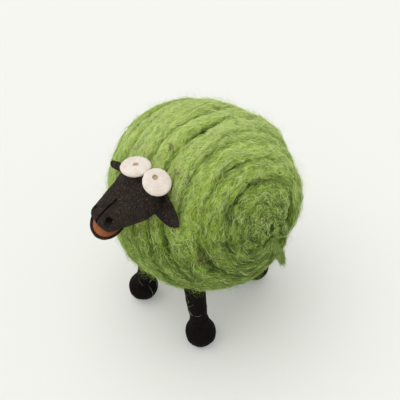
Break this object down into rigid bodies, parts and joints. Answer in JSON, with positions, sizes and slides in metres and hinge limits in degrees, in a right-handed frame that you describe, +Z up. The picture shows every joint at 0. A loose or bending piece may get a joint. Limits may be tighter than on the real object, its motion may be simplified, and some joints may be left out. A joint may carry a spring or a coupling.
{
  "type": "sheep figurine",
  "caption": "Standing sheep ornament: a ball of wound wool roving on clay legs, with a clay head that turns on a pin.",
  "frame": {"origin": "on the ground, at the middle of the bounding box", "axes": "+Z up; the sheep faces -Y, so its left side is +X"},
  "size_m": [0.075, 0.0866, 0.099],
  "materials": {
    "wool": "matte, fibrous",
    "black_clay": "matte, fine speckle",
    "hoof_clay": "matte",
    "white_clay": "matte, grainy",
    "tongue_clay": "matte",
    "foam": "beaded foam",
    "steel": "drawn wire"
  },
  "bodies": {
    "torso": {"core": "foam", "fleece": "wool", "roving_end": "wool", "neck_pin": "steel", "front_left_leg": "hoof_clay", "front_right_leg": "hoof_clay", "rear_left_leg": "hoof_clay", "rear_right_leg": "hoof_clay", "front_left_hoof": "hoof_clay", "front_right_hoof": "hoof_clay", "rear_left_hoof": "hoof_clay", "rear_right_hoof": "hoof_clay", "front_left_pin": "steel", "front_right_pin": "steel", "rear_left_pin": "steel", "rear_right_pin": "steel"},
    "head": {"head": "black_clay", "lower_jaw": "black_clay", "tongue": "tongue_clay", "right_eye": "white_clay", "left_eye": "white_clay", "right_ear": "black_clay", "left_ear": "black_clay"}
  },
  "joints": [
    {"name": "head_turn", "type": "hinge", "parent": "torso", "child": "head", "pos_m": [0, -0.02207, 0.08659], "axis": [0, -0.7431, 0.6691], "range_deg": [-30, 30]}
  ]
}
